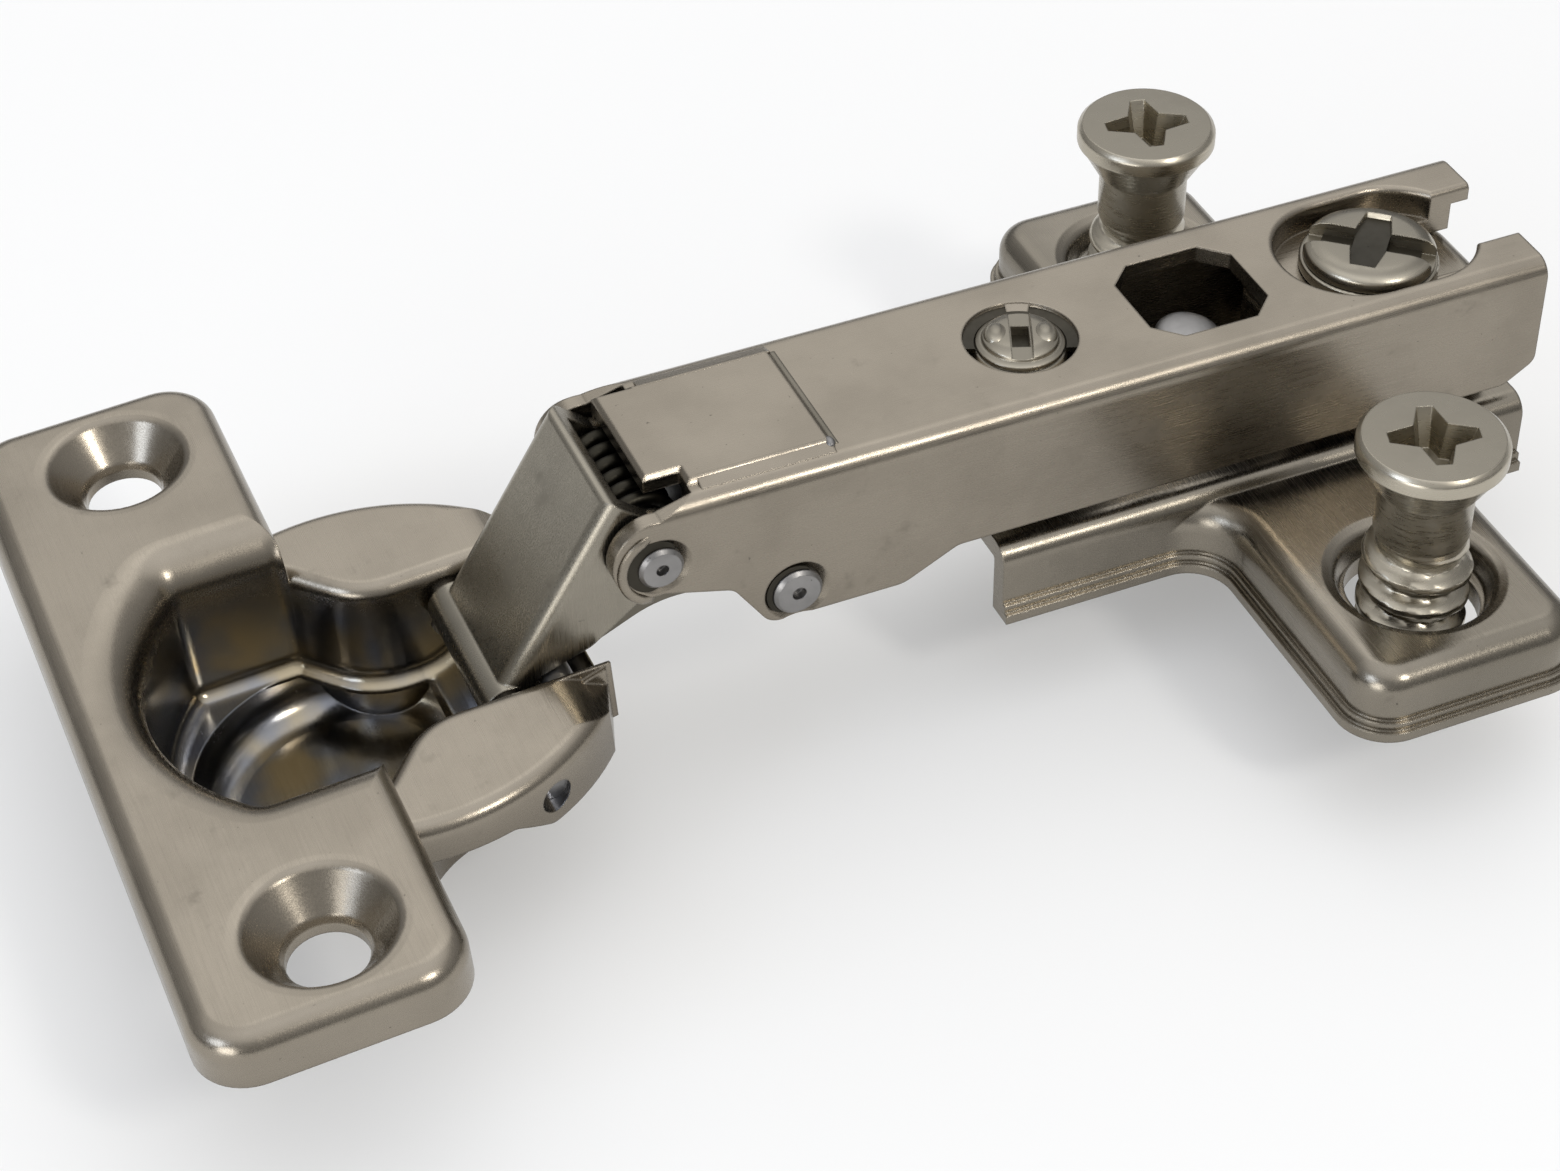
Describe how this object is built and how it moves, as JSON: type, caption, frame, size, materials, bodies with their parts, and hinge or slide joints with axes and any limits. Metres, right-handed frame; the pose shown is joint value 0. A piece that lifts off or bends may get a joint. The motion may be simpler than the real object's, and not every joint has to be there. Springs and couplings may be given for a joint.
{
  "type": "concealed cup hinge",
  "caption": "Concealed cup hinge with a 26 mm cup, slide-on arm and cross mounting plate with two euro screws, standing open.",
  "frame": {"origin": "midway between the two euro screws, on the mounting plate's seating face", "axes": "+X along the arm to its rear end, +Y along the hinge axes to the far side, +Z away from the cabinet's side panel"},
  "size_m": [0.0833, 0.0494, 0.0209],
  "materials": {
    "cup_steel": "satin nickel plated",
    "arm_steel": "satin nickel plated",
    "plate_steel": "satin nickel plated",
    "link_steel": "satin nickel plated",
    "lever_steel": "satin nickel plated",
    "pin_steel": "satin nickel plated",
    "spring_steel": "satin nickel plated",
    "screw_steel": "satin nickel plated"
  },
  "bodies": {
    "plate": {"mounting_plate": "plate_steel", "near_euro_screw": "screw_steel", "far_euro_screw": "screw_steel", "clamp_washer": "screw_steel"},
    "arm": {"hinge_arm": "arm_steel", "front_arm_pin": "pin_steel", "rear_arm_pin": "pin_steel", "closing_spring": "spring_steel"},
    "outer_link": {"outer_link": "link_steel"},
    "cup": {"hinge_cup": "cup_steel", "outer_cup_pin": "pin_steel", "inner_cup_pin": "pin_steel"},
    "inner_link": {"inner_link": "lever_steel"},
    "adjusting_screw": {"adjusting_screw": "screw_steel"},
    "fixing_screw": {"fixing_screw": "screw_steel"}
  },
  "joints": [
    {"name": "arm_slide", "type": "slide", "parent": "plate", "child": "arm", "axis": [1, 0, 0], "range_m": [-0.001, 0.001]},
    {"name": "outer_link_swing", "type": "hinge", "parent": "arm", "child": "outer_link", "pos_m": [-0.0394, 0, 0.0104], "axis": [0, -1, 0], "range_deg": [0, 34.43]},
    {"name": "cup_swing", "type": "hinge", "parent": "outer_link", "child": "cup", "pos_m": [-0.04769, 0, 0.00248], "axis": [0, 1, 0], "range_deg": [0, 128.23]},
    {"name": "inner_link_swing", "type": "hinge", "parent": "cup", "child": "inner_link", "pos_m": [-0.04494, 0, 0.00337], "axis": [0, -1, 0], "range_deg": [0, 128.43]},
    {"name": "adjusting_screw_turn", "type": "hinge", "parent": "arm", "child": "adjusting_screw", "pos_m": [-0.0161, 0, 0.0139], "axis": [0, 0, 1], "continuous": true},
    {"name": "fixing_screw_turn", "type": "hinge", "parent": "plate", "child": "fixing_screw", "pos_m": [0.0056, 0, 0.0139], "axis": [0, 0, 1], "continuous": true}
  ],
  "couplings": [
    {"joint": "outer_link_swing", "follows": "cup_swing", "ratio": 0.26851},
    {"joint": "inner_link_swing", "follows": "cup_swing", "ratio": 1.0015}
  ]
}
